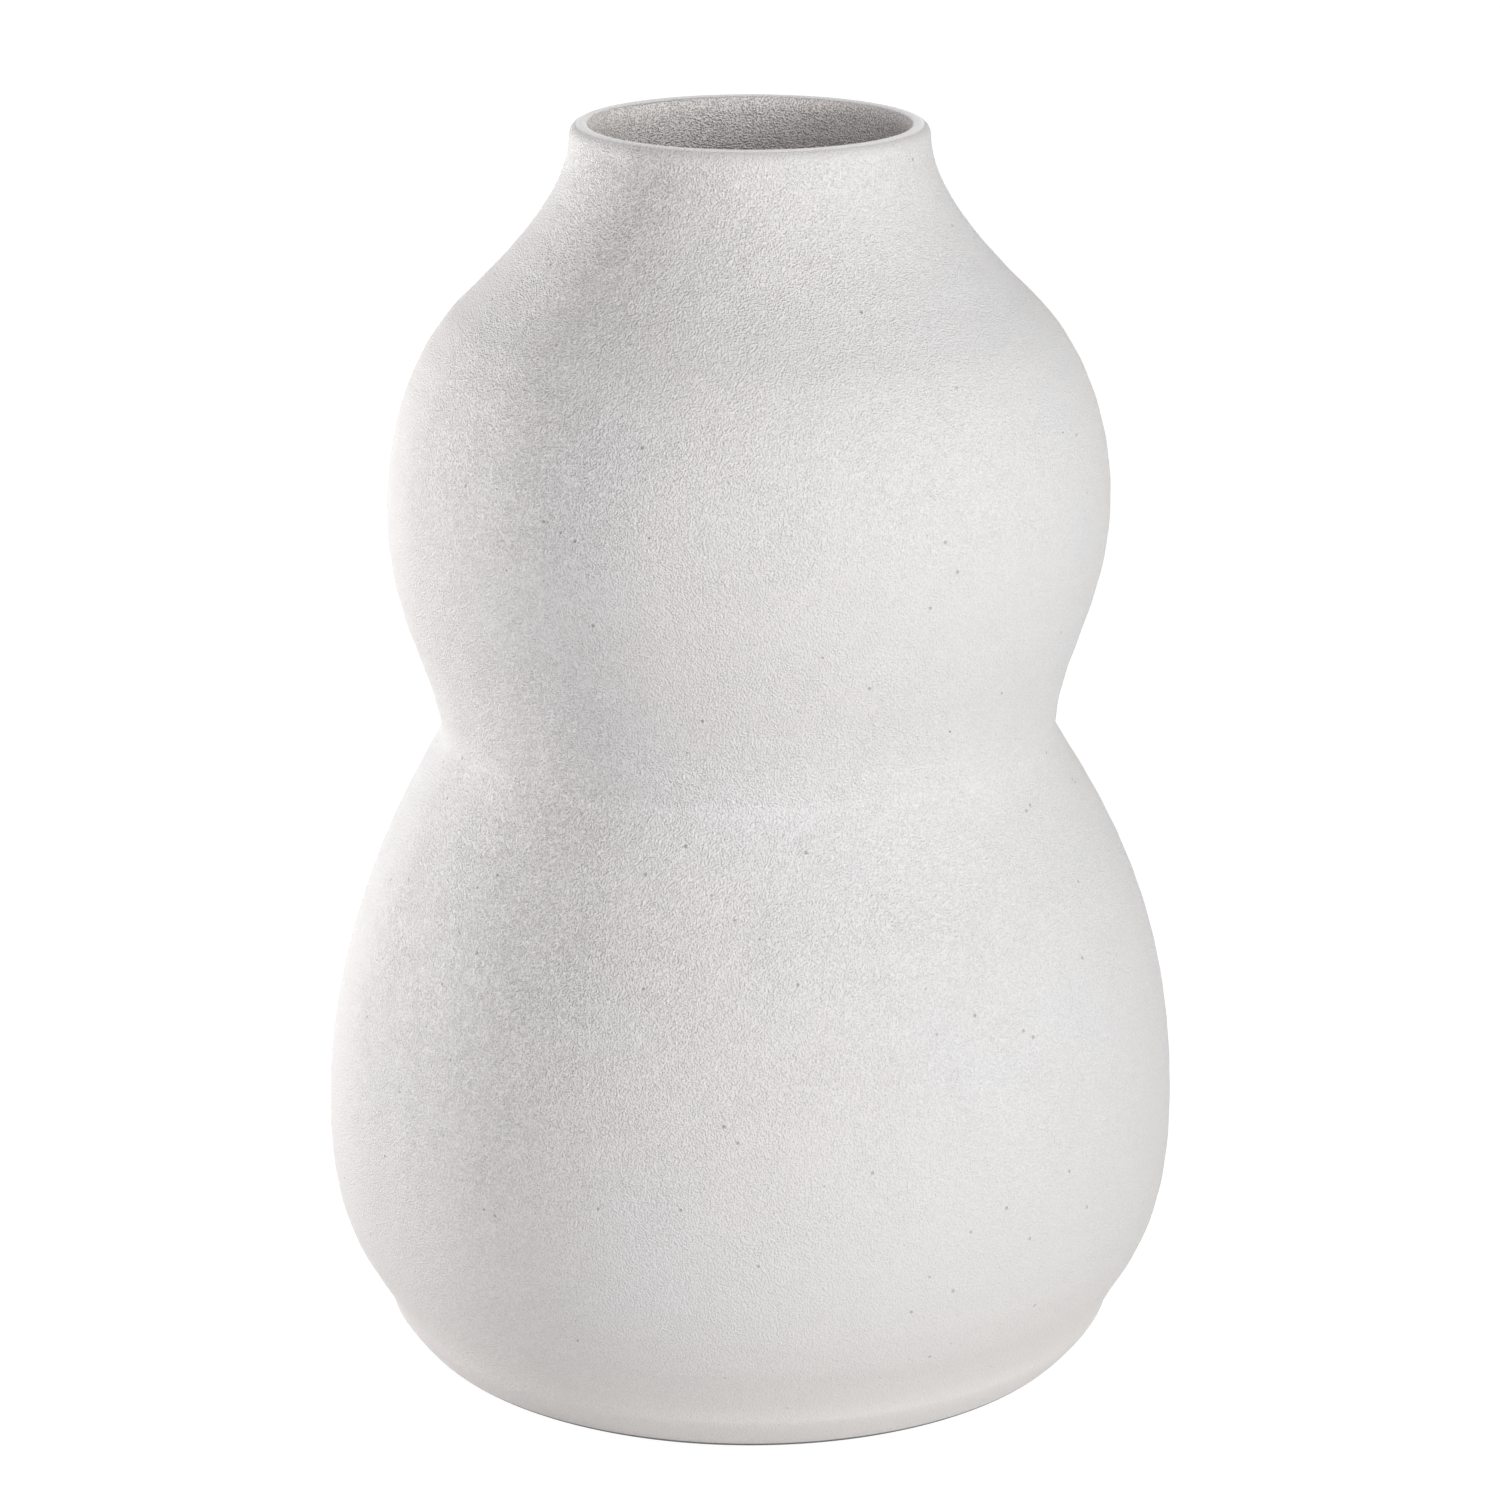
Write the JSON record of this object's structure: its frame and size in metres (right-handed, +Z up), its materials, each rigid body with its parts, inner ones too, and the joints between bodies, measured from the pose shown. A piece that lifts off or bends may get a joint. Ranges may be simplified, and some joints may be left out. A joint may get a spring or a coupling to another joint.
{
  "type": "double gourd vase",
  "caption": "Matt white stoneware vase of two stacked rounded chambers with a pinched waist, a low foot and a narrow round-lipped mouth.",
  "frame": {"origin": "centre of the foot ring, on the surface that the vase stands on", "axes": "+Z up along the axis that the vase is turned about, towards the mouth; the form is the same all round, so +X and +Y are free choices"},
  "size_m": [0.208, 0.208, 0.3],
  "materials": {
    "stoneware": "matt white body with a fine sandy grit and sparse pinholes, smoother on the lip and the foot edge",
    "slip": "matt white slip of the same clay, wiped smooth in the crease"
  },
  "bodies": {
    "root": {"lower_section": "stoneware", "upper_section": "stoneware", "luting_seam": "slip"}
  },
  "joints": []
}
